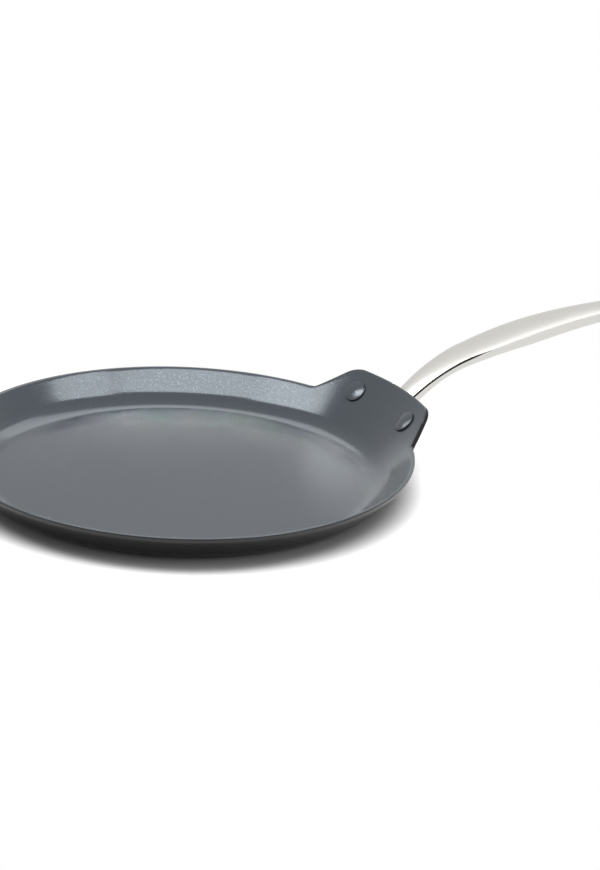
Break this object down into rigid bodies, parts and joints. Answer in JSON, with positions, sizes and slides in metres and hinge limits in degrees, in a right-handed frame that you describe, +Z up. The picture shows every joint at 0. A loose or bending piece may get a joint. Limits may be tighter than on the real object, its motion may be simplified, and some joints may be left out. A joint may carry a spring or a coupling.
{
  "type": "crepe pan",
  "caption": "Low wide crepe pan with a coated aluminium body, a raised riveted ear and an arched hollow steel handle with a hanging hole.",
  "frame": {"origin": "centre of the pan's flat underside", "axes": "+Z up, out of the pan's open side; +X from the pan's centre along the handle"},
  "size_m": [0.4748, 0.28, 0.0731],
  "materials": {
    "coated_body": "blue-grey ceramic non-stick coating with a fine metallic fleck inside, near-black outside",
    "coated_rivet": "coated like the pan's inside, slightly darker and glossier",
    "base_steel": "turned magnetic steel",
    "handle_steel": "satin polished stainless steel"
  },
  "bodies": {
    "root": {"pan_body": "coated_body", "induction_disc": "base_steel", "handle_bracket": "handle_steel", "handle_top_shell": "handle_steel", "handle_bottom_shell": "handle_steel", "hang_ferrule": "handle_steel", "rivet_left": "coated_rivet", "rivet_right": "coated_rivet"}
  },
  "joints": []
}
